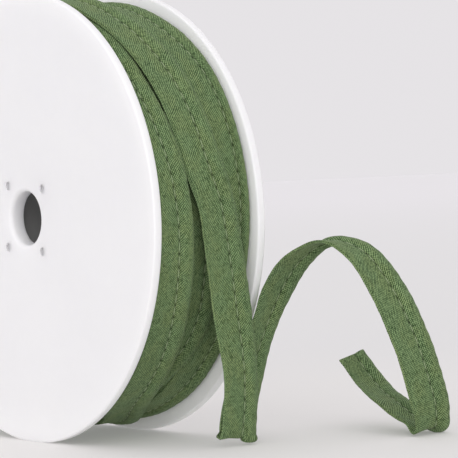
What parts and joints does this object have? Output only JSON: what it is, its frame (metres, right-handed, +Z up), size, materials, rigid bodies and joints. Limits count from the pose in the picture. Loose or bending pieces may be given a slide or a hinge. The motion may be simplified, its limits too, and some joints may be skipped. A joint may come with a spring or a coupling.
{
  "type": "roll of piping trim on a flanged spool",
  "caption": "Flanged plastic spool wound with flat cotton piping trim that has a stitched soft bead edge, its loose end falling to the surface in a fold, an arch and a second fold.",
  "frame": {"origin": "centre of the whole part's bounding box, at the surface that it stands on", "axes": "+Z up; the spool's axis runs along Y with the outer face of the front flange towards -Y; +X towards the side where the trim leaves the winding, and the loose end lies towards +X and +Y"},
  "size_m": [0.136, 0.0716, 0.1097],
  "materials": {
    "white_plastic": "moulded white polystyrene with a soft satin face",
    "grey_plastic": "grey moulded plastic, matte",
    "green_cotton": "fine plain-woven cotton cut on the bias, moss green, with lockstitch in the same colour"
  },
  "bodies": {
    "root": {"front_flange": "white_plastic", "rear_flange": "white_plastic", "core_tube": "grey_plastic", "winding": "green_cotton", "loose_end": "green_cotton"}
  },
  "joints": []
}
